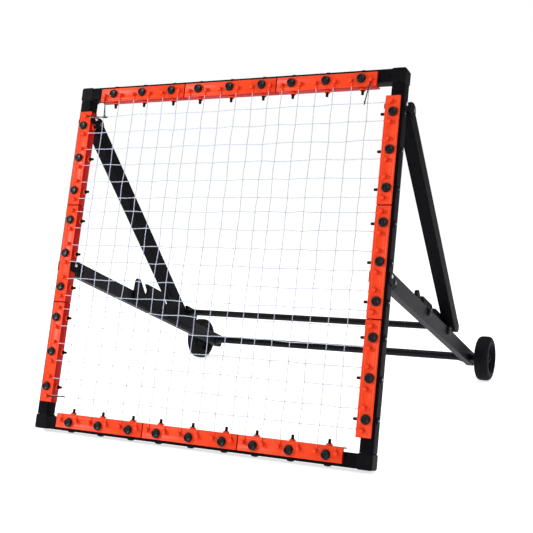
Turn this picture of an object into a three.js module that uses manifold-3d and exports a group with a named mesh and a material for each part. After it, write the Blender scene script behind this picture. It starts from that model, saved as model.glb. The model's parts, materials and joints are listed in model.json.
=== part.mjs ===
// Pitch back rebounder: a square net frame that leans back on two legs and two wheeled struts.
// Millimetres, +Z up, front towards -Y, origin under the middle of the whole object.
import * as THREE from 'three';
import { mergeVertices } from 'three/addons/utils/BufferGeometryUtils.js';
import Module from 'manifold-3d';

const wasm = await Module();
wasm.setup();

const GAP = 0.3;

// Front frame, measured in its own plane: x to the right, y back from the tubes' front, z up.
const HALF = 620;
const TUBE = 44;
const TUBE_WALL = 1.5;
const TUBE_MID = HALF - TUBE / 2;
const CORNER = 50;
const CORNER_PROUD = 2;
const CORNER_RADIUS = 8;
const SPIGOT = 28;

// Angle-section rails, three to a side.
const RAIL_ENDS = [-530, -176.6, 176.6, 530];
const RAIL_OUTER = 610.5;
const RAIL_INNER = 562.5;
const RAIL_FRONT = -7;
const RAIL_LIP = 28;
const RAIL_WALL = 4;
const STATIONS = [-475.3, -353.1, -230.9, -122.2, 0, 122.2, 230.9, 353.1, 475.3];
const PEG_LINE = 583;
const PEG_OFFSET = 34;
const PEG_RADIUS = 7.5;
const PEG_HEIGHT = 6;
const BOSS_RADIUS = 10.5;
const BOSS_HEIGHT = 5;
const BOSS_DEPTH = 16.5;

// Net sheet and the cords that tie its corners.
const NET_HALF = 555;
const NET_FRONT = -6;
const NET_BACK = -4;
const TIE_RADIUS = 1.75;
const TIE_DEPTH = -10;

// Hinge points on the front frame, as [y, z].
const LEG_PIVOT = [79, 507];
const LEG_FIXING = [22, 508];
const STRUT_PIVOT = [83, -48];
const STRUT_FIXING = [23, -39];
const PLATE_THICKNESS = 3;
// Each hinge plate is bent once: [x, y] where the bend starts on the tube and where it ends by the pivot.
const INNER_BEND = [[559.2, 34], [578.7, 56]];
const LEG_OUTER_BEND = [[620.3, 32], [627.3, 44]];
const STRUT_OUTER_BEND = [[620.3, 45.5], [612.3, 58]];
const BOLT_RADIUS = 4;
const PIVOT_HOLE = 4.8;

// Legs: along is measured from the leg pivot down the leg. The pivot lies behind the tube's middle line.
const LEG_X = [582, 627];
const LEG_DEPTH = 52;
const LEG_MIDDLE = -8;
const LEG_LENGTH = 975.1;
const LEG_TILT = 37.74;
const LEG_CAP_START = 27;
const LEG_CAP_RADIUS = 18;
const LEG_BAR_RADIUS = 13;
const LEG_BAR_HALF = 605;

// Struts: along is measured from the strut pivot towards the axle.
const STRUT_X = [582, 612];
const STRUT_DEPTH = 54;
const STRUT_LENGTH = 1094.2;
const STRUT_TILT = 6.57;
const STRUT_START = -20;
const STRUT_END = 1124;
const STRUT_CAP = 24;

// Notch bars on the inner sides of the struts, with three open slots for the leg crossbar.
const NOTCH_X = [569.7, 581.7];
const NOTCH_FROM = 352;
const NOTCH_TO = 860;
const NOTCH_BOTTOM = -8;
const NOTCH_TOP = 73.5;
const SLOTS = [430, 598, 766.9];
const SLOT_HEIGHT = 46.1;
const SLOT_RADIUS = 14.2;
const SLOT_MOUTH = 17.5;
const SLOT_REACH = 70;

// Axle and wheels.
const AXLE_RADIUS = 16;
const AXLE_COLLAR = 22;
const AXLE_BOLT = 6;
const WHEEL_RADIUS = 90;
const WHEEL_X = 666;
const WHEEL_HALF = 24;
const TYRE_INNER = 60;

const LEAN = 17.5;
const RAD = Math.PI / 180;

const PAINT = { color: 0x161619, roughness: 0.42, metalness: 0.1 };
const RAIL = { color: 0xff4a20, roughness: 0.38, metalness: 0 };
const MOULD = { color: 0x17171a, roughness: 0.6, metalness: 0 };
const CORD = { color: 0xdce0ee, roughness: 0.9, metalness: 0 };
const TIE = { color: 0x1c1c20, roughness: 0.9, metalness: 0 };
const ZINC = { color: 0xb4b4bc, roughness: 0.35, metalness: 0.85 };
const RUBBER = { color: 0x141416, roughness: 0.8, metalness: 0 };

// ---------------------------------------------------------------- solids

// Signed volume of a triangle soup; positive when the faces point outwards.
function signedVolume(geometry) {
  const at = geometry.getAttribute('position');
  const [a, b, c] = [new THREE.Vector3(), new THREE.Vector3(), new THREE.Vector3()];
  let sum = 0;
  for (let i = 0; i < at.count; i += 3) {
    a.fromBufferAttribute(at, i);
    b.fromBufferAttribute(at, i + 1);
    c.fromBufferAttribute(at, i + 2);
    sum += a.dot(b.cross(c)) / 6;
  }
  return sum;
}

// Turns every triangle over.
function flipped(geometry) {
  const at = geometry.getAttribute('position');
  const [b, c] = [new THREE.Vector3(), new THREE.Vector3()];
  for (let i = 0; i < at.count; i += 3) {
    b.fromBufferAttribute(at, i + 1);
    c.fromBufferAttribute(at, i + 2);
    at.setXYZ(i + 1, c.x, c.y, c.z);
    at.setXYZ(i + 2, b.x, b.y, b.z);
  }
  return geometry;
}

// Plain triangles with positions only, facing outwards.
function plain(geometry) {
  const out = geometry.index ? geometry.toNonIndexed() : geometry.clone();
  out.deleteAttribute('uv');
  out.deleteAttribute('normal');
  return signedVolume(out) < 0 ? flipped(out) : out;
}

function toSolid(geometry) {
  const merged = mergeVertices(plain(geometry), 1e-4);
  return new wasm.Manifold(new wasm.Mesh({
    numProp: 3,
    vertProperties: new Float32Array(merged.getAttribute('position').array),
    triVerts: new Uint32Array(merged.index.array),
  }));
}

function toGeometry(solid) {
  const mesh = solid.getMesh();
  const out = new THREE.BufferGeometry();
  out.setAttribute('position', new THREE.BufferAttribute(new Float32Array(mesh.vertProperties), 3));
  out.setIndex(new THREE.BufferAttribute(new Uint32Array(mesh.triVerts), 1));
  return out;
}

function joined(base, extras) {
  return toGeometry(extras.reduce((sum, extra) => sum.add(toSolid(extra)), toSolid(base)));
}

function cut(base, tools) {
  return toGeometry(tools.reduce((left, tool) => left.subtract(toSolid(tool)), toSolid(base)));
}

function common(first, second) {
  return toGeometry(toSolid(first).intersect(toSolid(second)));
}

// ---------------------------------------------------------------- basic forms

// Rectangle with rounded corners, centred on (u, v).
function roundedRect(u, v, width, height, radius) {
  const shape = new THREE.Shape();
  const [a, b] = [width / 2 - radius, height / 2 - radius];
  shape.absarc(u + a, v + b, radius, 0, Math.PI / 2);
  shape.absarc(u - a, v + b, radius, Math.PI / 2, Math.PI);
  shape.absarc(u - a, v - b, radius, Math.PI, 1.5 * Math.PI);
  shape.absarc(u + a, v - b, radius, 1.5 * Math.PI, 2 * Math.PI);
  shape.closePath();
  return shape;
}

// Rounded rectangle with a smaller one taken out of the middle.
function tubeSection(u, v, width, height, wall) {
  const shape = roundedRect(u, v, width, height, 3);
  const [a, b] = [width / 2 - wall, height / 2 - wall];
  const corners = [[u - a, v - b], [u - a, v + b], [u + a, v + b], [u + a, v - b]];
  shape.holes.push(new THREE.Path(corners.map(([p, q]) => new THREE.Vector2(p, q))));
  return shape;
}

function polygon(points) {
  return new THREE.Shape(points.map(([u, v]) => new THREE.Vector2(u, v)));
}

function extruded(shape, depth) {
  return new THREE.ExtrudeGeometry(shape, { depth, bevelEnabled: false, curveSegments: 2 });
}

// Section drawn in (x, y), drawn out along z.
function alongZ(shape, z0, z1) {
  return extruded(shape, z1 - z0).translate(0, 0, z0);
}

// Section drawn in (x, z), drawn out along y.
function alongY(shape, y0, y1) {
  return extruded(shape, y1 - y0).rotateX(Math.PI / 2).translate(0, y1, 0);
}

// Section drawn in (y, z), drawn out along x.
function alongX(shape, x0, x1) {
  const turn = new THREE.Matrix4().makeBasis(
    new THREE.Vector3(0, 1, 0),
    new THREE.Vector3(0, 0, 1),
    new THREE.Vector3(1, 0, 0),
  );
  return extruded(shape, x1 - x0).applyMatrix4(turn).translate(x0, 0, 0);
}

// Turned form on an x axis through [y, z]; the profile is a list of [x, radius].
function turned(profile, segments, y = 0, z = 0) {
  const points = profile.map(([x, radius]) => new THREE.Vector2(radius, x));
  return new THREE.LatheGeometry(points, segments).rotateZ(-Math.PI / 2).translate(0, y, z);
}

// Round pin on an x axis.
function pin(radius, x0, x1, y, z, segments = 8) {
  return turned([[x0, 0], [x0, radius], [x1, radius], [x1, 0]], segments, y, z);
}

// The same form on the other side of the object.
function mirrored(geometry) {
  return plain(geometry.clone().scale(-1, 1, 1));
}

function mesh(group, name, geometry, look) {
  const body = plain(geometry);
  body.computeVertexNormals();
  const made = new THREE.Mesh(body, new THREE.MeshStandardMaterial(look));
  made.name = name;
  group.add(made);
}

function pair(group, name, geometry, look) {
  mesh(group, `${name}_right`, geometry, look);
  mesh(group, `${name}_left`, mirrored(geometry), look);
}

// ---------------------------------------------------------------- front frame

function tubes(group) {
  const end = HALF - CORNER + CORNER_PROUD - GAP;
  const upright = alongZ(tubeSection(TUBE_MID, TUBE / 2, TUBE, TUBE, TUBE_WALL), -end, end);
  const holes = [LEG_FIXING, STRUT_FIXING].map(([y, z]) => pin(BOLT_RADIUS + GAP, 560, 640, y, z));
  pair(group, 'tube', cut(upright, holes), PAINT);
  const level = tubeSection(TUBE / 2, TUBE_MID, TUBE, TUBE, TUBE_WALL);
  const bottom = tubeSection(TUBE / 2, -TUBE_MID, TUBE, TUBE, TUBE_WALL);
  mesh(group, 'tube_top', alongX(level, -end, end), PAINT);
  mesh(group, 'tube_bottom', alongX(bottom, -end, end), PAINT);
}

// Moulded corner with one spigot up or down into the upright and one into the level tube.
function corner(group, row, turn) {
  const outer = HALF + CORNER_PROUD;
  const middle = outer - CORNER / 2;
  const depth = TUBE + 2 * CORNER_PROUD;
  const block = alongY(roundedRect(middle, middle, CORNER, CORNER, CORNER_RADIUS),
    -CORNER_PROUD, depth - CORNER_PROUD);
  const bore = TUBE - 2 * TUBE_WALL - 2 * GAP;
  const root = outer - CORNER;
  const up = alongZ(roundedRect(TUBE_MID, TUBE / 2, bore, bore, 2), root - SPIGOT, root + 5);
  const across = alongX(roundedRect(TUBE / 2, TUBE_MID, bore, bore, 2), root - SPIGOT, root + 5);
  const whole = joined(block, [up, across]);
  pair(group, `corner_${row}`, turn < 0 ? whole.scale(1, 1, -1) : whole, MOULD);
}

// Peg: a short tapered post on the rail's front face.
function peg(z) {
  const profile = [[1, 0], [1, PEG_RADIUS], [-PEG_HEIGHT, PEG_RADIUS - 2], [-PEG_HEIGHT, 0]];
  const points = profile.map(([y, radius]) => new THREE.Vector2(radius, y));
  return new THREE.LatheGeometry(points, 6).translate(-PEG_LINE, RAIL_FRONT, z);
}

// Boss around each cross bolt on the rail's inner leg.
function boss(z) {
  const start = -RAIL_INNER - 1;
  const end = -RAIL_INNER + BOSS_HEIGHT;
  const profile = [[start, 0], [start, BOSS_RADIUS], [end, BOSS_RADIUS - 1], [end, 0]];
  return turned(profile, 8, BOSS_DEPTH, z);
}

// Angle section of a rail on the left side: a front leg over the tube and an inner leg behind it.
function railSection() {
  return polygon([
    [-RAIL_OUTER, -GAP],
    [-RAIL_OUTER, RAIL_FRONT + 2],
    [-RAIL_OUTER + 2, RAIL_FRONT],
    [-RAIL_INNER - 2, RAIL_FRONT],
    [-RAIL_INNER, RAIL_FRONT + 2],
    [-RAIL_INNER, RAIL_LIP],
    [-RAIL_INNER - RAIL_WALL, RAIL_LIP],
    [-RAIL_INNER - RAIL_WALL, -GAP],
  ]);
}

function railPiece(index, drilled) {
  const [from, to] = [RAIL_ENDS[index] + 0.2, RAIL_ENDS[index + 1] - 0.2];
  const own = STATIONS.slice(index * 3, index * 3 + 3);
  const pegs = own.flatMap((z) => [peg(z - PEG_OFFSET), peg(z + PEG_OFFSET)]);
  const body = joined(alongZ(railSection(), from, to), [...pegs, ...own.map(boss)]);
  const [y, z] = index === 1 ? STRUT_FIXING : LEG_FIXING;
  const mirroredZ = drilled.turned ? -z : z;
  return drilled.on ? cut(body, [pin(BOLT_RADIUS + GAP, -580, -550, y, mirroredZ)]) : body;
}

// Twelve rails: the left-hand set turned by quarter turns round the frame.
function rails(group) {
  const sides = ['left', 'top', 'right', 'bottom'];
  sides.forEach((side, quarter) => {
    for (let index = 0; index < 3; index += 1) {
      const half = side === 'right';
      const hinged = half ? index < 2 : side === 'left' && index > 0;
      const piece = railPiece(index, { on: hinged, turned: half });
      mesh(group, `rail_${side}_${index + 1}`, piece.rotateY(quarter * Math.PI / 2), RAIL);
    }
  });
}

function net(group) {
  const sheet = new THREE.BoxGeometry(2 * NET_HALF, NET_BACK - NET_FRONT, 2 * NET_HALF);
  mesh(group, 'net', sheet.translate(0, (NET_FRONT + NET_BACK) / 2, 0), CORD);
}

// Cord from a rail peg to the corner of the net, with a slight sag.
function tie(group, name, from, to) {
  const start = new THREE.Vector3(from[0], TIE_DEPTH, from[1]);
  const finish = new THREE.Vector3(to[0], TIE_DEPTH, to[1]);
  const middle = start.clone().lerp(finish, 0.5).add(new THREE.Vector3(0.8, -1, -0.8));
  const path = new THREE.QuadraticBezierCurve3(start, middle, finish);
  const section = new THREE.Shape().absarc(0, 0, TIE_RADIUS, 0, 2 * Math.PI);
  const cord = new THREE.ExtrudeGeometry(section, { steps: 4, extrudePath: path, curveSegments: 3 });
  mesh(group, name, cord, TIE);
}

function ties(group) {
  const peg0 = STATIONS[0] - PEG_OFFSET;
  const rest = PEG_RADIUS + 1;
  tie(group, 'tie_top_left_down', [peg0 + 2, PEG_LINE - rest], [peg0 + 12, 507]);
  tie(group, 'tie_top_left_across', [-PEG_LINE + rest, -peg0 - 3], [-485, 500]);
  tie(group, 'tie_top_right', [-peg0 - 2, PEG_LINE - rest], [-peg0 - 10, 520]);
  tie(group, 'tie_bottom_left', [-PEG_LINE + rest, peg0], [-512, peg0 + 3]);
}

// ---------------------------------------------------------------- hinges

// Outlines in (y, z): a tab over the side tube that widens round the pivot.
const LEG_PLATE = [
  [-4, 488], [-4, 503], [48, 524], [72, 528], [92, 522], [101, 507], [94, 490], [76, 482], [52, 486], [40, 488],
];
const STRUT_PLATE = [
  [-4, -62], [-4, -30], [26, -26], [62, -28], [84, -31], [98, -38], [103, -50], [97, -64], [80, -71], [26, -66],
];

// Bent sheet seen from above, wide enough in z for every plate.
function bentSheet([[x0, y0], [x1, y1]]) {
  const near = [[x0, -20], [x0, y0], [x1, y1], [x1, 130]];
  const far = near.map(([x, y]) => [x + PLATE_THICKNESS, y]).reverse();
  return alongZ(polygon([...near, ...far]), -100, 560);
}

function hingePlates(group, name, outline, outerBend, fixing, pivot) {
  const holes = [fixing, pivot].map(([y, z]) => pin(BOLT_RADIUS + GAP, 540, 640, y, z));
  const back = outline.map(([y, z]) => [Math.max(y, 4), z]);
  const inner = common(alongX(polygon(outline), 540, 640), bentSheet(INNER_BEND));
  const outer = common(alongX(polygon(back), 540, 640), bentSheet(outerBend));
  pair(group, `${name}_inner`, cut(inner, holes), PAINT);
  pair(group, `${name}_outer`, cut(outer, holes), PAINT);
}

// Through bolt between the outer faces of two plates: domed head inside, shank, domed nut outside.
function throughBolt(innerX, outerX, nutRadius, nutHeight) {
  const head = innerX - GAP;
  const nut = outerX + PLATE_THICKNESS + GAP;
  return [
    [head - 6, 0], [head - 6, 5], [head - 2, 8], [head, 8], [head, BOLT_RADIUS],
    [nut, BOLT_RADIUS], [nut, nutRadius], [nut + nutHeight, nutRadius - 2], [nut + nutHeight, 0],
  ];
}

function hinges(group) {
  hingePlates(group, 'leg_hinge', LEG_PLATE, LEG_OUTER_BEND, LEG_FIXING, LEG_PIVOT);
  hingePlates(group, 'strut_hinge', STRUT_PLATE, STRUT_OUTER_BEND, STRUT_FIXING, STRUT_PIVOT);
  const [tubeInner, pivotInner] = INNER_BEND.map(([x]) => x);
  const [tubeOuter, legOuter] = LEG_OUTER_BEND.map(([x]) => x);
  const strutOuter = STRUT_OUTER_BEND[1][0];
  pair(group, 'leg_hinge_bolt', turned(throughBolt(tubeInner, tubeOuter, 8, 4.5), 8, ...LEG_FIXING), ZINC);
  pair(group, 'strut_hinge_bolt', turned(throughBolt(tubeInner, tubeOuter, 8, 4.5), 8, ...STRUT_FIXING), ZINC);
  pair(group, 'leg_pivot', turned(throughBolt(pivotInner, legOuter, 10, 5), 8, ...LEG_PIVOT), ZINC);
  pair(group, 'strut_pivot', turned(throughBolt(pivotInner, strutOuter, 10, 5), 8, ...STRUT_PIVOT), ZINC);
}

// ---------------------------------------------------------------- legs

// Side outline in (y, z) of a bar with a half-round end at the start.
function roundStarted(middle, radius, to) {
  const shape = new THREE.Shape();
  shape.moveTo(to, middle - radius);
  shape.lineTo(to, middle + radius);
  shape.absarc(0, middle, radius, Math.PI / 2, 1.5 * Math.PI);
  shape.closePath();
  return shape;
}

function legTube() {
  const [x0, x1] = LEG_X;
  const end = LEG_LENGTH - LEG_CAP_START;
  const section = tubeSection((x0 + x1) / 2, LEG_MIDDLE, x1 - x0, LEG_DEPTH, TUBE_WALL);
  const long = alongY(section, -LEG_DEPTH / 2 - 2, end);
  const outline = extrudedSide(roundStarted(LEG_MIDDLE, LEG_DEPTH / 2, end + 5), x0 - 5, x1 + 5);
  return cut(common(long, outline), [pin(PIVOT_HOLE, x0 - 5, x1 + 5, 0, 0)]);
}

// Like alongX, with finer arcs for large round ends.
function extrudedSide(shape, x0, x1) {
  const points = shape.getPoints(5);
  return alongX(new THREE.Shape(points), x0, x1);
}

// Moulded cap on the lower end of a leg, bored for the crossbar.
function legCap() {
  const [x0, x1] = LEG_X;
  const start = LEG_LENGTH - LEG_CAP_START + GAP;
  const front = LEG_MIDDLE - LEG_DEPTH / 2;
  const back = LEG_MIDDLE + LEG_DEPTH / 2;
  const shape = new THREE.Shape();
  shape.moveTo(start, back);
  shape.lineTo(start, front);
  shape.lineTo(start + 4, front);
  shape.absarc(LEG_LENGTH, 0, LEG_CAP_RADIUS, -0.42 * Math.PI, 0.42 * Math.PI);
  shape.closePath();
  const plug = roundedRect((x0 + x1) / 2, LEG_MIDDLE, x1 - x0 - 4.6, LEG_DEPTH - 4.6, 1.2);
  const whole = joined(extrudedSide(shape, x0, x1), [alongY(plug, start - 20, start + 2)]);
  return cut(whole, [pin(LEG_BAR_RADIUS + GAP, x0 - 5, LEG_BAR_HALF + GAP, LEG_LENGTH, 0, 16)]);
}

function hollowRod(radius, wall, half, segments, y) {
  const profile = [[-half, radius - wall], [-half, radius], [half, radius], [half, radius - wall]];
  return turned([...profile, profile[0]], segments, y, 0);
}

function legs() {
  const group = new THREE.Group();
  pair(group, 'leg', legTube(), PAINT);
  pair(group, 'leg_cap', legCap(), MOULD);
  mesh(group, 'leg_crossbar', hollowRod(LEG_BAR_RADIUS, 2, LEG_BAR_HALF, 16, LEG_LENGTH), PAINT);
  group.position.set(0, ...LEG_PIVOT);
  group.rotation.x = -LEG_TILT * RAD;
  return group;
}

// ---------------------------------------------------------------- struts

function strutTube() {
  const [x0, x1] = STRUT_X;
  const section = tubeSection((x0 + x1) / 2, 0, x1 - x0, STRUT_DEPTH, TUBE_WALL);
  return cut(alongY(section, STRUT_START, STRUT_END), [
    pin(PIVOT_HOLE, x0 - 5, x1 + 5, 0, 0),
    pin(AXLE_BOLT + GAP, x0 - 5, x1 + 5, STRUT_LENGTH, 0, 12),
  ]);
}

function strutCap() {
  const [x0, x1] = STRUT_X;
  const middle = (x0 + x1) / 2;
  const start = STRUT_END + GAP;
  const head = alongY(roundedRect(middle, 0, x1 - x0, STRUT_DEPTH, 3), start, start + STRUT_CAP);
  const nose = extrudedSide(roundedRect(start, 0, 2 * STRUT_CAP, STRUT_DEPTH, 14), x0 - 1, x1 + 1);
  const plug = alongY(roundedRect(middle, 0, x1 - x0 - 4.6, STRUT_DEPTH - 4.6, 1.2), start - 18, start + 2);
  return joined(common(head, nose), [plug]);
}

// Slot in (y, z): round at the bottom, slanting forwards and up, a little wider at its mouth.
function slotShape(along) {
  const shape = new THREE.Shape();
  const slant = 0.75 * Math.PI;
  const reach = [along + SLOT_REACH * Math.cos(slant), SLOT_HEIGHT + SLOT_REACH * Math.sin(slant)];
  const side = [SLOT_MOUTH * Math.sin(slant), -SLOT_MOUTH * Math.cos(slant)];
  shape.absarc(along, SLOT_HEIGHT, SLOT_RADIUS, slant + Math.PI / 2, slant + 1.5 * Math.PI);
  shape.lineTo(reach[0] + side[0], reach[1] + side[1]);
  shape.lineTo(reach[0] - side[0], reach[1] - side[1]);
  shape.closePath();
  return shape;
}

function notchBar() {
  const shape = new THREE.Shape();
  shape.moveTo(NOTCH_FROM, NOTCH_BOTTOM);
  shape.lineTo(NOTCH_TO - 10, NOTCH_BOTTOM);
  shape.lineTo(NOTCH_TO, NOTCH_BOTTOM + 12);
  shape.lineTo(NOTCH_TO, NOTCH_TOP - 22);
  shape.lineTo(NOTCH_TO - 20, NOTCH_TOP);
  shape.lineTo(NOTCH_FROM + 24, NOTCH_TOP + 1);
  shape.absarc(NOTCH_FROM + 14, NOTCH_TOP - 9, 14, 0.42 * Math.PI, Math.PI);
  shape.closePath();
  const slots = SLOTS.map((along) => extrudedSide(slotShape(along), NOTCH_X[0] - 5, NOTCH_X[1] + 5));
  return cut(extrudedSide(shape, ...NOTCH_X), slots);
}

// Hollow round crossbar between the struts at the axle, with a flared, bored collar at each end.
function axleCrossbar() {
  const end = STRUT_X[0] - GAP;
  const bore = AXLE_BOLT + GAP;
  const flip = (points) => points.map(([x, radius]) => [-x, radius]).reverse();
  const outer = [[end - 28, AXLE_RADIUS], [end - 6, AXLE_COLLAR], [end, AXLE_COLLAR]];
  const inner = [[end, bore], [end - 14, bore], [end - 14, AXLE_RADIUS - 2]];
  const section = [...flip(outer), ...outer, ...inner, ...flip(inner)];
  return turned([...section, section[0]], 16, STRUT_LENGTH, 0);
}

function struts() {
  const group = new THREE.Group();
  pair(group, 'strut', strutTube(), PAINT);
  pair(group, 'strut_cap', strutCap(), MOULD);
  pair(group, 'notch_bar', notchBar(), MOULD);
  mesh(group, 'axle_crossbar', axleCrossbar(), PAINT);
  pair(group, 'axle_bolt', axleBolt(), MOULD);
  pair(group, 'tyre', wheelForm(tyreProfile(), 32), RUBBER);
  pair(group, 'hub', wheelForm(hubProfile(), 16), MOULD);
  group.position.set(0, ...STRUT_PIVOT);
  group.rotation.x = -STRUT_TILT * RAD;
  return group;
}

// ---------------------------------------------------------------- wheels

// Wheel parts are turned so that one edge of their facets meets the ground.
function wheelForm(profile, segments) {
  return turned(profile, segments).rotateX((LEAN + STRUT_TILT) * RAD).translate(WHEEL_X, STRUT_LENGTH, 0);
}

function tyreProfile() {
  const w = WHEEL_HALF;
  const outer = WHEEL_RADIUS;
  return [
    [-w, TYRE_INNER], [-w, outer - 10], [-w + 8, outer],
    [w - 8, outer], [w, outer - 10], [w, TYRE_INNER], [-w, TYRE_INNER],
  ];
}

function hubProfile() {
  const bore = AXLE_BOLT + GAP + 0.1;
  const rim = TYRE_INNER - 0.6;
  return [
    [-24, bore], [-24, 17], [-6, 20], [-6, rim - 6], [-19, rim - 4], [-19, rim],
    [19, rim], [19, rim - 4], [6, rim - 6], [6, 20], [18, 17], [18, bore], [-24, bore],
  ];
}

// Axle bolt: shank through the strut, a spacer collar, then through the hub to a domed head.
function axleBolt() {
  const collar = [STRUT_X[1] + GAP, WHEEL_X - WHEEL_HALF - GAP];
  const head = WHEEL_X + 18 + GAP;
  return turned([
    [550, 0], [550, AXLE_BOLT], [collar[0], AXLE_BOLT], [collar[0], 13], [collar[1], 11], [collar[1], AXLE_BOLT],
    [head, AXLE_BOLT], [head, 11], [head + 5, 8], [head + 5, 0],
  ], 12, STRUT_LENGTH, 0);
}

// ---------------------------------------------------------------- whole object

function frontFrame() {
  const group = new THREE.Group();
  tubes(group);
  corner(group, 'top', 1);
  corner(group, 'bottom', -1);
  rails(group);
  net(group);
  ties(group);
  hinges(group);
  return group;
}

const leaning = new THREE.Group();
leaning.add(frontFrame(), legs(), struts());
leaning.rotation.x = -LEAN * RAD;

const rebounder = new THREE.Group();
rebounder.name = 'pitch_back_rebounder';
rebounder.add(leaning);
rebounder.updateMatrixWorld(true);
const box = new THREE.Box3().setFromObject(rebounder, true);
leaning.position.set(0, -(box.min.y + box.max.y) / 2, -box.min.z);
rebounder.updateMatrixWorld(true);

export default rebounder;
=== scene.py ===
"""Pitch back rebounder: camera, studio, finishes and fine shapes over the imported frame."""

import json
import math
import random

import bmesh
import bpy
from mathutils import Matrix, Vector


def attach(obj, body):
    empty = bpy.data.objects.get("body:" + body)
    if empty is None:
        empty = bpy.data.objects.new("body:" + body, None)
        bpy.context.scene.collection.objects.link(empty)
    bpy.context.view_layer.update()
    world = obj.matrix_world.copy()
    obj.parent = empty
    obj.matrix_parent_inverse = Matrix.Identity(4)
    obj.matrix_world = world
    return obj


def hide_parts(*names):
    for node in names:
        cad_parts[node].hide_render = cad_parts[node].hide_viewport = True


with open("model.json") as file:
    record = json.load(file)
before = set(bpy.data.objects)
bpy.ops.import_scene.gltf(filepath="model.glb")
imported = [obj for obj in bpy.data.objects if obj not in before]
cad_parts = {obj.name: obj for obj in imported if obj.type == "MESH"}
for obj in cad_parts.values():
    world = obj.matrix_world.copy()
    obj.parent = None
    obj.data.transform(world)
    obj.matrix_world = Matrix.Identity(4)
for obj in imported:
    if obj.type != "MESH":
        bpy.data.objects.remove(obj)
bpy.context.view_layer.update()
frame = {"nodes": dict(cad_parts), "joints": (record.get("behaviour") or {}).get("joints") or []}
NODES = frame["nodes"]
JOINTS = {joint["name"]: joint for joint in frame["joints"]}
MM = 0.001

# ---------------------------------------------------------------- the object's own measures, mm
# The panel's frame: x to the right, y into its depth from the front of the tubes, z up from its middle.
LEAN = math.radians(17.5)
HALF = 620.0
TUBE = 44.0
TUBE_ROUND = 4.0
TUBE_STOP = 48.3        # from the end of a side tube to the outside of the frame
CORNER_SIDE = 49.4
CORNER_STEP = 1.4       # how far the corner blocks stand proud of the tubes
CORNER_ROUND = 7.5

# Rails, drawn for the left side of the panel. Stations are the buttons' places along each side.
RAIL_ENDS = (-530.0, -176.6, 176.6, 530.0)
RAIL_GAP = 1.0          # left free at each end of a rail
RAIL_OUTER = 610.5
RAIL_INNER = 562.5
RAIL_FACE = -6.5
STATIONS = (-475.3, -353.1, -230.9, -122.2, 0.0, 122.2, 230.9, 353.1, 475.3)
BUTTON_LINE = 590.2     # from the middle of the panel
PEG_LINE = 583.0
PEG_OFFSET = 34.0       # from a station to each of its two pegs
PEG_RADIUS = 7.0
PEG_HEIGHT = 10.5
PEG_DOME = 3.4
PEG_FOOT = -6.0
BOSS_DEPTH = 16.5

# Net and ties.
CORD_OFFSET = 30.0      # from a station to each of its two cords
CORD_RADIUS = 1.25
NET_DEPTH = -8.0
TIE_RADIUS = 1.9

# Rear support. Pivots and fixings are (y, z) on the panel, and tilts are down from the panel's normal.
# Lengths, slots and rack bolts are measured along the leg or strut from its pivot.
STRUT_PIVOT = (83.0, -48.0)
STRUT_FIXING = (23.0, -39.0)
STRUT_TILT = math.radians(6.57)
STRUT_LENGTH = 1094.2
STRUT_X = (582, 612)
LEG_PIVOT = (79.0, 507.0)
LEG_FIXING = (22.0, 508.0)
LEG_TILT = math.radians(37.74)
LEG_LENGTH = 975.1
LEG_X = (582, 627)
NOTCH_X = (569.7, 581.7)
SLOTS = (766.9, 598.0, 430.0)
RACK_BOLTS = (406, 683)
WHEEL_X = 666.0

SIDES = (("right", 1), ("left", -1))
PANEL_SIDES = ("left", "top", "right", "bottom")


def at_joint(name, tilt):
    """Frame at a joint, tilted back and down."""
    return Matrix.Translation(Vector(JOINTS[name]["pos_m"])) @ Matrix.Rotation(-tilt, 4, "X")


STRUT = at_joint("strut_fold", LEAN + STRUT_TILT)
LEG = at_joint("leg_fold", LEAN + LEG_TILT)
PANEL = at_joint("strut_fold", LEAN) @ Matrix.Translation(
    (0, -STRUT_PIVOT[0] * MM, -STRUT_PIVOT[1] * MM))


def quarter(turns):
    """The panel's frame after quarter turns about its normal: left, top, right, bottom."""
    return PANEL @ Matrix.Rotation(turns * math.pi / 2, 4, "Y")


# ---------------------------------------------------------------- camera and studio
def make_camera():
    data = bpy.data.cameras.new("camera")
    data.lens = 63.06
    data.sensor_width = 36.0
    camera = bpy.data.objects.new("camera", data)
    camera.location = (1.5152, -3.1604, 0.9423)
    camera.rotation_euler = [math.radians(a) for a in (83.11, 1.52, 25.87)]
    bpy.context.scene.collection.objects.link(camera)
    bpy.context.scene.camera = camera


def area_light(name, location, target, size, power):
    data = bpy.data.lights.new(name, "AREA")
    data.shape = "RECTANGLE"
    data.size, data.size_y = size
    data.energy = power
    light = bpy.data.objects.new(name, data)
    light.location = location
    aim = Vector(target) - Vector(location)
    light.rotation_euler = aim.to_track_quat("-Z", "Y").to_euler()
    light.visible_camera = False
    bpy.context.scene.collection.objects.link(light)


def make_world():
    """White behind the object; dimmer as a light source, and darker below the horizon."""
    world = bpy.data.worlds.new("studio")
    world.use_nodes = True
    nodes, links = world.node_tree.nodes, world.node_tree.links
    back = nodes["Background"]
    place = nodes.new("ShaderNodeTexCoord")
    split = nodes.new("ShaderNodeSeparateXYZ")
    ramp = nodes.new("ShaderNodeMapRange")
    ramp.inputs["From Min"].default_value = -0.2
    ramp.inputs["From Max"].default_value = 0.9
    ramp.inputs["To Min"].default_value = 0.12
    ramp.inputs["To Max"].default_value = 0.5
    links.new(place.outputs["Generated"], split.inputs[0])
    links.new(split.outputs["Z"], ramp.inputs["Value"])
    ray = nodes.new("ShaderNodeLightPath")
    blend = nodes.new("ShaderNodeMix")
    blend.inputs["B"].default_value = 1.0
    links.new(ray.outputs["Is Camera Ray"], blend.inputs["Factor"])
    links.new(ramp.outputs["Result"], blend.inputs["A"])
    links.new(blend.outputs["Result"], back.inputs["Strength"])
    back.inputs["Color"].default_value = (1, 1, 1, 1)
    bpy.context.scene.world = world


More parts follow.
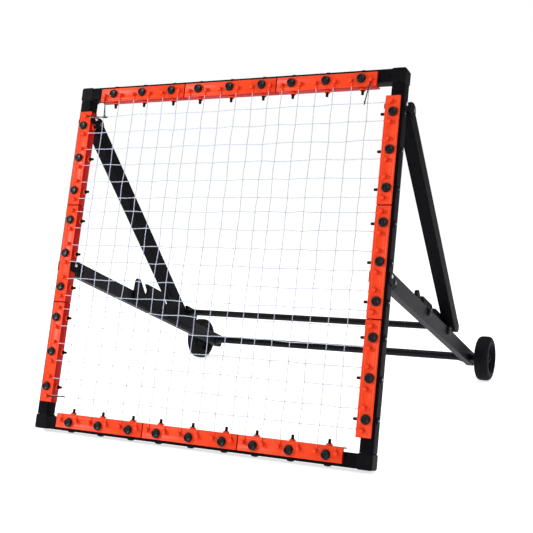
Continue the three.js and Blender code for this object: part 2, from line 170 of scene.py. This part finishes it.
def make_studio():
    make_world()
    area_light("key", (-4.1, -2.9, 2.5), (0, -0.3, 0.6), (1.0, 0.9), 165)
    area_light("top", (0.2, 0.4, 3.8), (0, 0, 0.3), (3.2, 3.2), 55)
    area_light("side", (3.6, 0.3, 1.5), (0.5, 0.1, 0.5), (1.2, 1.6), 22)
    bpy.ops.mesh.primitive_plane_add(size=60, location=(0, 0, -0.0005))
    floor = bpy.context.object
    floor.name = "floor"
    surface = bpy.data.materials.new("floor")
    surface.use_nodes = True
    shader = surface.node_tree.nodes["Principled BSDF"]
    shader.inputs["Base Color"].default_value = (0.82, 0.82, 0.83, 1)
    shader.inputs["Emission Color"].default_value = (1, 1, 1, 1)
    shader.inputs["Emission Strength"].default_value = 0.72
    shader.inputs["Roughness"].default_value = 0.95
    shader.inputs["Specular IOR Level"].default_value = 0.1
    floor.data.materials.append(surface)
    bpy.context.scene.view_settings.view_transform = "Standard"
    bpy.context.scene.view_settings.look = "None"


# ---------------------------------------------------------------- finishes
def finish(name, dark, light, rough, bump, metal=0.0, level=0.5, scale=60.0, grain=900.0):
    """Procedural finish: two tones and roughness from broad noise, and relief from a fine grain."""
    material = bpy.data.materials.new(name)
    material.use_nodes = True
    nodes, links = material.node_tree.nodes, material.node_tree.links
    shader = nodes["Principled BSDF"]
    shader.inputs["Metallic"].default_value = metal
    shader.inputs["Specular IOR Level"].default_value = level
    place = nodes.new("ShaderNodeTexCoord")
    broad = nodes.new("ShaderNodeTexNoise")
    broad.inputs["Scale"].default_value = scale
    broad.inputs["Detail"].default_value = 6
    fine = nodes.new("ShaderNodeTexNoise")
    fine.inputs["Scale"].default_value = grain
    fine.inputs["Detail"].default_value = 3
    links.new(place.outputs["Object"], broad.inputs["Vector"])
    links.new(place.outputs["Object"], fine.inputs["Vector"])
    tones = nodes.new("ShaderNodeValToRGB")
    tones.color_ramp.elements[0].position = 0.35
    tones.color_ramp.elements[1].position = 0.7
    tones.color_ramp.elements[0].color = (*dark, 1)
    tones.color_ramp.elements[1].color = (*light, 1)
    links.new(broad.outputs["Fac"], tones.inputs["Fac"])
    links.new(tones.outputs["Color"], shader.inputs["Base Color"])
    gloss = nodes.new("ShaderNodeMapRange")
    gloss.inputs["To Min"].default_value = rough[0]
    gloss.inputs["To Max"].default_value = rough[1]
    links.new(broad.outputs["Fac"], gloss.inputs["Value"])
    links.new(gloss.outputs["Result"], shader.inputs["Roughness"])
    relief = nodes.new("ShaderNodeBump")
    relief.inputs["Strength"].default_value = bump
    relief.inputs["Distance"].default_value = 0.0004
    links.new(fine.outputs["Fac"], relief.inputs["Height"])
    links.new(relief.outputs["Normal"], shader.inputs["Normal"])
    return material


def cord_finish(name, dark, light, turns):
    """Twisted cord: three strands on the cord's own UV, u round it and v along it in metres."""
    material = finish(name, dark, light, (0.75, 0.95), 0.3, level=0.2, scale=220, grain=2600)
    nodes, links = material.node_tree.nodes, material.node_tree.links
    split = nodes.new("ShaderNodeSeparateXYZ")
    links.new(nodes["Texture Coordinate"].outputs["UV"], split.inputs[0])
    along = nodes.new("ShaderNodeMath")
    along.operation = "MULTIPLY_ADD"
    along.inputs[1].default_value = turns
    links.new(split.outputs["Y"], along.inputs[0])
    links.new(split.outputs["X"], along.inputs[2])
    strands = nodes.new("ShaderNodeMath")
    strands.operation = "MULTIPLY"
    strands.inputs[1].default_value = 3 * 2 * math.pi
    links.new(along.outputs[0], strands.inputs[0])
    wave = nodes.new("ShaderNodeMath")
    wave.operation = "SINE"
    links.new(strands.outputs[0], wave.inputs[0])
    relief = nodes.new("ShaderNodeBump")
    relief.inputs["Strength"].default_value = 0.6
    relief.inputs["Distance"].default_value = 0.0006
    links.new(wave.outputs[0], relief.inputs["Height"])
    links.new(relief.outputs["Normal"], nodes["Bump"].inputs["Normal"])
    return material


PAINT = finish("black_powder_coat", (0.0034, 0.0033, 0.0046), (0.006, 0.0057, 0.0078),
               (0.42, 0.56), 0.2, level=0.028, grain=1300)
# Painted light: a lighter copy of the black powder coat for the struts, whose sides stand lit from the right.
STRUT_PAINTED_LIGHT = finish("black_powder_coat_painted_light", (0.010, 0.0096, 0.0125), (0.016, 0.0152, 0.019),
                     (0.42, 0.56), 0.25, level=0.06, grain=1300)
BAR = finish("black_rod", (0.0045, 0.0045, 0.006), (0.008, 0.0075, 0.010),
             (0.2, 0.3), 0.1, level=0.11, grain=1300)
RAIL = finish("orange_moulding", (0.93, 0.058, 0.012), (0.98, 0.072, 0.017),
              (0.36, 0.46), 0.015, level=0.17, scale=26, grain=700)
# Painted shade: a darker copy of the orange moulding for the rails' inner legs and ends.
RAIL_PAINTED_SHADE = finish("orange_moulding_painted_shade", (0.38, 0.003, 0.002), (0.48, 0.006, 0.004),
                  (0.4, 0.55), 0.03, level=0.08, scale=26, grain=700)
# Painted half shade: a less dark copy of the orange moulding for the walls of the pegs and ribs, and for the
# bottom rails' inner legs, which face up to the light.
RAIL_PAINTED_HALF_SHADE = finish("orange_moulding_painted_half_shade", (0.66, 0.018, 0.005), (0.74, 0.026, 0.008),
                   (0.4, 0.55), 0.02, level=0.1, scale=26, grain=700)
MOULD = finish("black_moulding", (0.0036, 0.0035, 0.0048), (0.007, 0.0066, 0.0088),
               (0.42, 0.6), 0.25, level=0.05, grain=1100)
BUTTON = finish("black_button", (0.005, 0.005, 0.007), (0.009, 0.0088, 0.012),
                (0.28, 0.4), 0.15, level=0.2)
DULL = finish("black_bolt_head", (0.0045, 0.0045, 0.006), (0.008, 0.0078, 0.010),
              (0.45, 0.6), 0.15, level=0.05)
ZINC = finish("zinc_plate", (0.42, 0.42, 0.45), (0.66, 0.66, 0.7),
              (0.22, 0.42), 0.25, metal=1.0, scale=400)
STEEL = finish("blackened_steel", (0.10, 0.10, 0.115), (0.17, 0.17, 0.19),
               (0.25, 0.4), 0.2, metal=0.9, scale=400)
TYRE = finish("tyre_rubber", (0.005, 0.005, 0.006), (0.010, 0.0095, 0.011),
              (0.5, 0.7), 0.35, level=0.04, grain=800)
CORD = cord_finish("net_cord", (0.53, 0.58, 0.73), (0.73, 0.77, 0.89), 110)
TIE = cord_finish("tie_cord", (0.008, 0.008, 0.010), (0.02, 0.02, 0.024), 90)


# ---------------------------------------------------------------- outlines and forms
# An outline is a list of points. A form is (verts, faces) or (verts, faces, uvs), in mm.
def rounded(u, v, width, height, radius, steps=6):
    """Rectangle round (u, v) with rounded corners."""
    points = []
    for k, (su, sv) in enumerate(((1, 1), (-1, 1), (-1, -1), (1, -1))):
        for j in range(steps + 1):
            angle = math.pi / 2 * (k + j / steps)
            points.append((u + su * (width / 2 - radius) + radius * math.cos(angle),
                           v + sv * (height / 2 - radius) + radius * math.sin(angle)))
    return points


def arc(u, v, radius, start, stop, steps):
    return [(u + radius * math.cos(math.radians(start + (stop - start) * k / steps)),
             v + radius * math.sin(math.radians(start + (stop - start) * k / steps)))
            for k in range(steps + 1)]


def dome(start, radius, height, steps=6):
    """Profile points (x, radius) of a dome that closes at start + height."""
    return [(start + height * math.sin(math.pi / 2 * k / steps), radius * math.cos(math.pi / 2 * k / steps))
            for k in range(steps + 1)]


def turned(profile, steps=40):
    """Turned form on x from (x, radius) pairs; radius 0 closes to a point."""
    verts, rings, faces = [], [], []
    for x, radius in profile:
        if radius < 1e-6:
            rings.append([len(verts)] * steps)
            verts.append((x, 0.0, 0.0))
            continue
        rings.append(list(range(len(verts), len(verts) + steps)))
        for k in range(steps):
            angle = 2 * math.pi * k / steps
            verts.append((x, radius * math.cos(angle), radius * math.sin(angle)))
    for a, b in zip(rings, rings[1:]):
        for k in range(steps):
            quad = [a[k], a[(k + 1) % steps], b[(k + 1) % steps], b[k]]
            face = list(dict.fromkeys(quad))
            if len(face) > 2:
                faces.append(face)
    return verts, faces


def ring_faces(count, rings):
    """Both end faces, then the sides, of a form made of rings of count points each."""
    last = (rings - 1) * count
    faces = [list(range(count)), list(range(last, last + count))]
    for base in range(0, last, count):
        for k in range(count):
            a, b = base + k, base + (k + 1) % count
            faces.append([a, b, b + count, a + count])
    return faces


def prism(outline, x0, x1):
    """Outline of (y, z) points drawn out along x."""
    return [(x, y, z) for x in (x0, x1) for y, z in outline], ring_faces(len(outline), 2)


def lofted(sections):
    """Loft through (z, outline) sections, each outline with as many (x, y) points."""
    verts = [(x, y, z) for z, outline in sections for x, y in outline]
    return verts, ring_faces(len(sections[0][1]), len(sections))


def tube_along(path, radius, sides=8):
    """Round cord along a list of points, with u round the cord and v along it in metres."""
    points = [Vector(p) for p in path]
    verts, uvs = [], []
    travelled = 0.0
    normal = None
    for k, point in enumerate(points):
        ahead = points[min(k + 1, len(points) - 1)] - points[max(k - 1, 0)]
        ahead.normalize()
        if normal is None:
            helper = Vector((0, 1, 0)) if abs(ahead.y) < 0.9 else Vector((1, 0, 0))
            normal = ahead.cross(helper).normalized()
        else:
            travelled += (point - points[k - 1]).length
            normal = (normal - ahead * normal.dot(ahead)).normalized()
        side = ahead.cross(normal)
        for j in range(sides):
            angle = 2 * math.pi * j / sides
            verts.append(tuple(point + radius * (math.cos(angle) * normal + math.sin(angle) * side)))
            uvs.append((j / sides, travelled * MM))
    return verts, ring_faces(sides, len(points)), uvs


def moved(form, dx=0.0, dy=0.0, dz=0.0):
    verts, faces = form
    return [(x + dx, y + dy, z + dz) for x, y, z in verts], faces


def to_front(form):
    """A form turned on x, laid on -y so that it points out of the panel's front."""
    verts, faces = form
    return [(y, -x, z) for x, y, z in verts], faces


def mirrored(form):
    verts, faces = form
    return [(-x, y, z) for x, y, z in verts], faces


def gathered(forms):
    """Several forms as one; a form without UVs adds none."""
    verts, faces, uvs = [], [], []
    for points, skin, *rest in forms:
        base = len(verts)
        verts += points
        faces += [[index + base for index in face] for face in skin]
        uvs += rest[0] if rest else []
    return verts, faces, uvs


# ---------------------------------------------------------------- pieces
def new_mesh(name, form, materials, keen=35.0):
    """Mesh in metres from a form; edges sharper than keen degrees stay sharp."""
    verts, faces, *rest = form
    mesh = bpy.data.meshes.new(name)
    mesh.from_pydata([tuple(c * MM for c in v) for v in verts], [], faces)
    for material in materials:
        mesh.materials.append(material)
    if rest:
        layer = mesh.uv_layers.new(name="UVMap")
        for loop in mesh.loops:
            layer.data[loop.index].uv = rest[0][loop.vertex_index]
    bm = bmesh.new()
    bm.from_mesh(mesh)
    bmesh.ops.recalc_face_normals(bm, faces=bm.faces)
    for face in bm.faces:
        face.smooth = True
    for edge in bm.edges:
        edge.smooth = len(edge.link_faces) == 2 and edge.calc_face_angle(0) < math.radians(keen)
    bm.to_mesh(mesh)
    bm.free()
    return mesh


def soften(piece, width, segments=3, angle=30):
    edge = piece.modifiers.new("edges", "BEVEL")
    edge.width = width * MM
    edge.segments = segments
    edge.limit_method = "ANGLE"
    edge.angle_limit = math.radians(angle)
    edge.harden_normals = True


def show(name, mesh, place, body, replaces=(), bevel=0.0, segments=3):
    piece = bpy.data.objects.new(name, mesh)
    piece.matrix_world = place
    bpy.context.scene.collection.objects.link(piece)
    if bevel:
        soften(piece, bevel, segments)
    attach(piece, body)
    if replaces:
        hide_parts(*replaces)


def make(name, form, place, body, slot, material, replaces=(), bevel=0.0, segments=3, keen=35.0):
    """One piece from a form in the given local frame."""
    mesh = new_mesh(name, form, [material], keen)
    mesh.transform(place)
    show(name, mesh, Matrix(), body, replaces, bevel, segments)


def pair(name, form, place, body, slot, material, replaces=(), **more):
    """The piece drawn for the right side, and its mirror image on the left."""
    for side, sign in SIDES:
        make(f"{name}_{side}", form if sign > 0 else mirrored(form), place, body.replace("SIDE", side),
             slot, material, [f"{node}_{side}" for node in replaces], **more)


def dress(node, material, bevel):
    """A CAD node that keeps its shape gets its finish and softened edges."""
    piece = NODES[node]
    piece.data.materials.clear()
    piece.data.materials.append(material)
    soften(piece, bevel, 2, 25)


# ---------------------------------------------------------------- front frame: tubes and corners
def make_tubes():
    outline = rounded(TUBE / 2, HALF - TUBE / 2, TUBE, TUBE, TUBE_ROUND)
    form = prism(outline, -(HALF - TUBE_STOP), HALF - TUBE_STOP)
    for turns, side in enumerate(("top", "right", "bottom", "left")):
        make(f"side_tube_{side}", form, quarter(turns), "front_frame", "paint", PAINT, [f"tube_{side}"])


def make_corners():
    middle = HALF + CORNER_STEP - CORNER_SIDE / 2
    outline = rounded(middle, middle, CORNER_SIDE, CORNER_SIDE, CORNER_ROUND, 7)
    verts = [(x, y, z) for y in (-CORNER_STEP, TUBE + CORNER_STEP) for x, z in outline]
    form = (verts, ring_faces(len(outline), 2))
    for turns, name in enumerate(("top_right", "bottom_right", "bottom_left", "top_left")):
        make(f"corner_block_{name}", form, quarter(turns), "front_frame", "corner", MOULD,
             [f"corner_{name}"], bevel=1.8)


# ---------------------------------------------------------------- rails
def rail_section():
    """Section of a left-hand rail, (x, y): front leg with rims and fine ribs, inner leg behind it."""
    o, i, face, rim = -RAIL_OUTER, -RAIL_INNER, RAIL_FACE, RAIL_FACE - 0.5
    front = [(o, -0.3), (o, -5.6), (o + 0.5, -6.7), (o + 1.6, rim), (o + 3.6, rim), (o + 4.2, face)]
    for rib in (9.0, 38.5):
        front += [(o + rib - 1.1, face), (o + rib - 0.6, face - 0.25), (o + rib + 0.6, face - 0.25),
                  (o + rib + 1.1, face)]
    front += [(i - 4.2, face), (i - 3.6, rim), (i - 1.6, rim), (i - 0.5, -6.7), (i, -5.6)]
    back = [(i, 26.8), (i - 1.2, 28.0), (i - 2.8, 28.0), (i - 4.0, 26.8), (i - 4.0, -0.3)]
    return front + back


def shrunk(section, amount):
    """The same section drawn in a little, for a rail's softened end."""
    points = []
    for x, y in section:
        if x < -RAIL_OUTER + 6:
            x += amount
        elif x > -RAIL_INNER - 2:
            x -= amount
        if y < -6:
            y += amount
        elif y > 26:
            y -= amount
        points.append((x, y))
    return points


def peg_form():
    """Straight post with a flared foot and a domed top."""
    foot = [(0.0, 0.0), (0.0, PEG_RADIUS + 1.4), (1.0, PEG_RADIUS + 0.3)]
    return to_front(turned(foot + dome(PEG_HEIGHT - PEG_DOME, PEG_RADIUS, PEG_DOME, 5), 18))


def cord_rib(height):
    """Rounded rib over a cord at a height, from the rail's inner edge to the peg."""
    outline = [(-3.6, 0.0), (-3.3, -1.6), (-2.2, -2.9), (-0.8, -3.4), (0.8, -3.4), (2.2, -2.9),
               (3.3, -1.6), (3.6, 0.0)]
    rings = ((-RAIL_INNER + 0.2, 1.0), (-RAIL_INNER - 1.4, 0.2), (-RAIL_INNER - 2.4, 0.0),
             (-PEG_LINE + 4.0, 0.0))
    verts = [(x, PEG_FOOT + min(0.0, y + lift), height + z) for x, lift in rings for z, y in outline]
    return verts, ring_faces(len(outline), len(rings))


def rail_form(index):
    """One of the three rails of a side, with its three bosses, six pegs and six ribs."""
    section = rail_section()
    start, stop = RAIL_ENDS[index] + RAIL_GAP, RAIL_ENDS[index + 1] - RAIL_GAP
    forms = [lofted([(start, shrunk(section, 1.4)), (start + 0.5, shrunk(section, 0.6)),
                     (start + 1.4, section), (stop - 1.4, section),
                     (stop - 0.5, shrunk(section, 0.6)), (stop, shrunk(section, 1.4))])]
    peg = peg_form()
    boss = turned([(-1, 0), (-1, 11.4), (0.6, 10.6), (4.2, 10.2), (5.0, 9.4), (5.0, 0)], 28)
    for station in STATIONS[index * 3:index * 3 + 3]:
        for side in (-1, 1):
            forms.append(moved(peg, -PEG_LINE, PEG_FOOT, station + side * PEG_OFFSET))
            forms.append(cord_rib(station + side * CORD_OFFSET))
        forms.append(moved(boss, -RAIL_INNER, BOSS_DEPTH, station))
    verts, faces, _ = gathered(forms)
    return verts, faces


# Rail material slots: plain orange, painted shade, and painted half shade.
FRONT, SHADED, HALF_SHADED = range(3)
RAIL_MATERIALS = (RAIL, RAIL_PAINTED_SHADE, RAIL_PAINTED_HALF_SHADE)


def rail_face_shade(index, face, leg_shade):
    """Material of a face, in this order: bosses in plain orange, the inner leg in the painted shade passed
    in, the ends in the deepest painted shade, the walls of the pegs and ribs in a painted half shade, and
    then the front in plain orange.
    """
    x, y, z = face.center / MM
    if x > -RAIL_INNER + 0.4:
        return FRONT
    # Painted shade on the inner leg.
    if x > -RAIL_INNER - 4.2 and y > -5.0:
        return leg_shade
    # Painted shade on the softened ends, where neighbouring rails meet.
    if min(z - RAIL_ENDS[index], RAIL_ENDS[index + 1] - z) < 2.2:
        return SHADED
    upright = abs(face.normal.y) < 0.8
    # Painted half shade on the upright walls of the pegs and ribs.
    return HALF_SHADED if upright and y < -7.2 and abs(x + PEG_LINE) < 10 else FRONT


def make_rails():
    """Twelve mouldings; the inner leg of each takes a painted shade, lighter along the bottom, where it faces
    up to the light.
    """
    forms = [rail_form(index) for index in range(3)]
    for turns, side in enumerate(PANEL_SIDES):
        for index, form in enumerate(forms):
            name = f"rail_moulding_{side}_{index + 1}"
            mesh = new_mesh(name, form, RAIL_MATERIALS, keen=50)
            for face in mesh.polygons:
                # Painted shade on the inner legs, less dark on the bottom rails, which face up to the light.
                face.material_index = rail_face_shade(index, face, HALF_SHADED if side == "bottom" else SHADED)
            mesh.transform(quarter(turns))
            show(name, mesh, Matrix(), "front_frame", [f"rail_{side}_{index + 1}"])


# ---------------------------------------------------------------- buttons and cross bolts
def at_stations(prefix, mesh, x, y):
    """The same mesh at (x, y) of every station, all round the panel."""
    for turns, side in enumerate(PANEL_SIDES):
        for number, station in enumerate(STATIONS, 1):
            spot = quarter(turns) @ Matrix.Translation((x * MM, y * MM, station * MM))
            show(f"{prefix}_{side}_{number}", mesh, spot, "front_frame")


def make_buttons():
    profile = [(0, 0), (0, 15.0), (0.9, 15.3), (2.2, 15.2), (3.0, 14.6), (3.3, 14.0), (6.6, 13.7),
               (8.2, 13.0), (9.0, 11.7), (9.0, 10.6), (8.3, 9.8), (7.7, 8.6), (7.6, 3.6), (8.2, 3.0),
               (8.6, 1.8), (8.7, 0)]
    mesh = new_mesh("button", to_front(turned(profile, 36)), [BUTTON])
    at_stations("button", mesh, -BUTTON_LINE, -6.3)


def make_studs():
    """Cross bolts: domed head on the outer face of the tube with a zinc centre, partly a screw centre and
    partly a painted highlight; shank, cone and stud on the inner side.
    """
    head = [(-4.6, 0), (-4.5, 3), (-3.9, 7), (-2.6, 10.4), (-0.8, 12.0), (0.0, 12.0), (0.0, 3.6),
            (57.0, 3.6)]
    tip = [(62.3, 3.6), (62.3, 7.8), (63.4, 7.6), (65.0, 5.6), (66.4, 4.8), (75.2, 4.6), (77.0, 3.8),
           (78, 0)]
    mesh = new_mesh("cross_bolt", turned(head + tip, 28), [DULL, ZINC])
    for face in mesh.polygons:
        x, y, z = face.center / MM
        # The flat centre of each domed head takes zinc: partly a screw centre, partly a painted highlight
        # dot.
        face.material_index = int(x < -4.2 and math.hypot(y, z) < 3.1)
    at_stations("cross_bolt", mesh, -HALF - 0.2, BOSS_DEPTH)


# ---------------------------------------------------------------- net and ties
def make_net():
    rng = random.Random(7)
    lines = [station + side * CORD_OFFSET for station in STATIONS for side in (-1, 1)]
    cross = [[(x + rng.uniform(-2.2, 2.2), z + rng.uniform(-2.2, 2.2), NET_DEPTH + rng.uniform(-1.2, 1.2))
              for z in lines] for x in lines]
    start = [(-RAIL_INNER - 6, NET_DEPTH + 0.4), (-RAIL_INNER + 6, NET_DEPTH)]
    stop = [(-reach, depth) for reach, depth in reversed(start)]
    forms = []
    for i, line in enumerate(lines):
        upright = [(x, depth, z) for x, z, depth in cross[i]]
        level = [(row[i][0], row[i][2], row[i][1]) for row in cross]
        upright = [(line, y, z) for z, y in start] + upright + [(line, y, z) for z, y in stop]
        level = [(x, y, line) for x, y in start] + level + [(x, y, line) for x, y in stop]
        forms += [tube_along(eased(path, rng), CORD_RADIUS) for path in (upright, level)]
    forms += [knot(Vector((x, depth, z)), rng) for row in cross for x, z, depth in row]
    make("net_cords", gathered(forms), PANEL, "front_frame", "net", CORD, ["net"], keen=80)


def eased(path, rng):
    """Adds two slightly slack points to each long run between knots."""
    out = []
    for a, b in zip(path, path[1:]):
        out.append(a)
        start, stop = Vector(a), Vector(b)
        if (stop - start).length > 25:
            drift = Vector((rng.uniform(-1, 1), rng.uniform(-0.8, 0.8), rng.uniform(-1, 1)))
            for part in (0.33, 0.67):
                out.append(tuple(start.lerp(stop, part) + drift * 0.9))
    out.append(path[-1])
    return out


def barrel(half, steps, turn, spot):
    """Closed barrel from half its (x, radius) profile, turned and set at a spot."""
    verts, faces = turned(half + [(-x, radius) for x, radius in reversed(half)], steps)
    return [tuple(turn @ Vector(v) + spot) for v in verts], faces, [(0.5, v[0] * MM) for v in verts]


def knot(spot, rng):
    """Small hitch where two cords cross: a short slanted barrel."""
    lean = rng.choice((-1, 1)) * rng.uniform(0.6, 1.0)
    turn = Matrix.Rotation(lean, 4, "Y") @ Matrix.Scale(0.85, 4, Vector((0, 1, 0)))
    return barrel([(-3.2, 0), (-3.0, 0.7), (-2.2, 1.8), (-0.8, 2.4)], 8, turn, spot)


def tie_form(peg, end, tail):
    """A run from the foot of the peg to the net's corner and a small knot with a short tail."""
    foot = Vector((peg[0], -10.5, peg[1]))
    far = Vector((end[0], -12.0, end[1]))
    heading = (far - foot).normalized()
    start = foot + heading * 6.0
    run = [tuple(start.lerp(far, t)) for t in (0.0, 0.25, 0.5, 0.75, 1.0)]
    after = [tuple(far + Vector((tail[0] * t, -0.8 * t, tail[1] * t))) for t in (0.4, 0.8, 1.0)]
    turn = Matrix.Rotation(-math.atan2(heading.z, heading.x), 4, "Y")
    lump = barrel([(-3.6, 0), (-3.4, 1), (-2.4, 2.3), (-0.8, 2.9)], 12, turn, far)
    return gathered([tube_along(run + after, TIE_RADIUS, 10), lump])


def make_ties():
    far = STATIONS[-1] + PEG_OFFSET
    ties = (
        ("tie_top_left_down", (-far, PEG_LINE), (-far + 12, 507), (1, -9)),
        ("tie_top_left_across", (-PEG_LINE, far), (-492, 500), (9, 1)),
        ("tie_top_right", (far, PEG_LINE), (far - 13, 509), (-1, -9)),
        ("tie_bottom_left", (-PEG_LINE, -far), (-514, -506), (8, 2)),
    )
    for name, peg, end, tail in ties:
        make(f"{name}_cord", tie_form(peg, end, tail), PANEL, "front_frame", "tie", TIE, [name], keen=80)


# ---------------------------------------------------------------- hinges
def bolt_profile(plates, cap_radius, cap_height):
    """Bolt through two plates, given by their inner x: domed head, shank, washer and domed nut."""
    head, nut = plates[0] - 0.3, plates[1] + 3.3
    inner = [(2 * head - x, radius) for x, radius in reversed(dome(head, 7.2, 5.0))]
    washer = [(head, 4.0), (nut, 4.0), (nut, cap_radius + 1.0), (nut + 1.0, cap_radius + 1.0),
              (nut + 1.0, cap_radius)]
    return inner + washer + dome(nut + cap_height - 2.4, cap_radius, 2.4)


def make_hinges():
    bolts = (
        ("leg_hinge_bolt", LEG_FIXING, (559.2, 620.3), 6.0, 4.2, ZINC),
        ("strut_hinge_bolt", STRUT_FIXING, (559.2, 620.3), 6.0, 4.2, ZINC),
        ("leg_pivot", LEG_PIVOT, (578.7, 627.3), 7.4, 4.6, STEEL),
        ("strut_pivot", STRUT_PIVOT, (578.7, 612.3), 7.4, 4.6, STEEL),
    )
    for name, (y, z), plates, radius, height, material in bolts:
        form = moved(turned(bolt_profile(plates, radius, height), 32), dy=y, dz=z)
        pair(f"{name}_set", form, PANEL, "front_frame", "zinc", material, [name])
    for kind in ("leg_hinge", "strut_hinge"):
        for layer in ("inner", "outer"):
            for side, _ in SIDES:
                dress(f"{kind}_{layer}_{side}", PAINT, 0.7)


# ---------------------------------------------------------------- legs
def make_legs():
    """Legs and end caps, drawn with y down the leg from its pivot, and the crossbar between them."""
    end, front, back = LEG_LENGTH - 27, -34, 18
    outline = [(end, front), (end, back)] + arc(0, -8, 26, 90, 270, 16)
    pair("leg_tube", prism(outline, *LEG_X), LEG, "leg_frame", "paint", PAINT, ["leg"], bevel=3.6, segments=4)
    start = end + 0.3
    cap = [(start, back), (start, front), (start + 4, front)] + arc(LEG_LENGTH, 0, 18, -76, 76, 14)
    pair("leg_end", prism(cap, *LEG_X), LEG, "leg_frame", "corner", DULL, ["leg_cap"], bevel=1.5)
    rod = moved(turned([(-605, 0), (-605, 13), (605, 13), (605, 0)]), dy=LEG_LENGTH)
    make("leg_crossbar_rod", rod, LEG, "leg_frame", "paint", BAR, ["leg_crossbar"])


# ---------------------------------------------------------------- struts
def notch_outline():
    """Side outline of a notch bar with its three slanted open slots."""
    top, height, radius, mouth, reach = 73.5, 46.1, 14.2, 17.5, 70.0
    slant = Vector((-math.sqrt(0.5), math.sqrt(0.5)))
    side = Vector((math.sqrt(0.5), math.sqrt(0.5)))
    points = [(352, 66)] + arc(360, 0, 8, 180, 270, 4)
    points += arc(848, 4, 12, 270, 360, 6) + arc(838, 51.5, 22, 0, 90, 8)
    for along in SLOTS:
        centre = Vector((along, height))
        lips = []
        for sign in (1, -1):
            foot = centre + side * radius * sign
            head = centre + slant * reach + side * mouth * sign
            part = (top - foot.y) / (head.y - foot.y)
            lips.append(foot.lerp(head, part))
        points.append((lips[0].x + 2.5, top))
        points.append((lips[0].x - 0.6, top - 2.0))
        points += arc(along, height, radius, 45, -135, 14)
        points.append((lips[1].x + 0.6, top - 2.0))
        points.append((lips[1].x - 2.5, top))
    points += arc(366, 64.5, 14, 80, 180, 9)[:-1]
    return points


def make_struts():
    """Struts, drawn with y along the strut from its pivot, and what is fixed to them."""
    outline = [(-20, -27), (1124, -27), (1124, 27), (-20, 27)]
    # The struts take the lighter copy of the black powder coat, painted light.
    pair("strut_tube", prism(outline, *STRUT_X), STRUT, "strut_frame", "paint", STRUT_PAINTED_LIGHT, ["strut"],
         bevel=3.6, segments=4)
    nose = ([(1124.3, -27)] + arc(1134.3, -13, 14, 270, 360, 6) + arc(1134.3, 13, 14, 0, 90, 6)
            + [(1124.3, 27)])
    pair("strut_end", prism(nose, *STRUT_X), STRUT, "strut_frame", "corner", MOULD, ["strut_cap"], bevel=2.4)
    pair("notch_rack", prism(notch_outline(), *NOTCH_X), STRUT, "strut_frame", "notch", MOULD,
         ["notch_bar"], bevel=0.9)
    half = [(553.7, 16), (560, 17), (568, 19.6), (574, 21.6), (577, 22), (580.6, 22), (581.7, 21),
            (581.7, 0)]
    rod = turned([(-x, radius) for x, radius in reversed(half)] + half)
    make("axle_crossbar_rod", moved(rod, dy=STRUT_LENGTH), STRUT, "strut_frame", "paint", BAR,
         ["axle_crossbar"])
    knob = turned([(0, 0), (0, 14.6), (1.2, 15.4), (6.6, 15.4), (9.2, 14.4), (10.8, 12.2), (11.3, 9.8),
                   (10.4, 8.4), (9.8, 6.8), (9.8, 4.2), (10.6, 3.4), (11.0, 1.6), (11.1, 0)], 32)
    for number, along in enumerate(RACK_BOLTS, 1):
        pair(f"rack_bolt_{number}", moved(knob, STRUT_X[1] + 0.1, along, 14), STRUT, "strut_frame", "bolt",
             BUTTON)


# ---------------------------------------------------------------- wheels
def make_wheels():
    """Wheels and axle bolts on the struts' rear ends; both wheel profiles are closed loops."""
    shoulder = [(-25.6, 59.6), (-27.4, 61.4), (-28, 64)]
    shoulder += [(-28 + 17 - 17 * math.cos(a), 72 + 17.8 * math.sin(a))
                 for a in map(math.radians, range(0, 85, 12))]
    half = shoulder + [(-4, 90)]
    tyre = half + [(-x, radius) for x, radius in reversed(half)]
    tyre.append(tyre[0])
    hub = [(-22, 6.6), (-22, 16), (-20, 17.4), (-7, 20), (-5.6, 22), (-5.6, 44), (-7, 48), (-19, 52.4),
           (-21.6, 54), (-22.4, 56), (-22.4, 59.3), (22.4, 59.3), (22.4, 56), (21.6, 54), (19, 52.4),
           (7, 48), (5.6, 44), (5.6, 22), (7, 20), (16.4, 17.4), (17.6, 16), (17.6, 6.6), (-22, 6.6)]
    for name, profile, material in (("tyre", tyre, TYRE), ("hub", hub, MOULD)):
        pair(f"wheel_{name}", moved(turned(profile, 64), WHEEL_X, STRUT_LENGTH), STRUT, "SIDE_wheel", name,
             material, [name])
    head = WHEEL_X + 18.3
    bolt = [(552, 0), (552, 6), (612.4, 6), (612.4, 13), (616, 12.6), (640, 11), (641.6, 11), (641.6, 6),
            (head, 6), (head, 11.4), (head + 1.4, 11.4), (head + 1.4, 8.6)] + dome(head + 3.4, 8.6, 2.8)
    pair("axle_pin", moved(turned(bolt, 32), dy=STRUT_LENGTH), STRUT, "strut_frame", "bolt", DULL,
         ["axle_bolt"])


make_camera()
make_studio()
make_tubes()
make_corners()
make_rails()
make_buttons()
make_studs()
make_net()
make_ties()
make_hinges()
make_legs()
make_struts()
make_wheels()
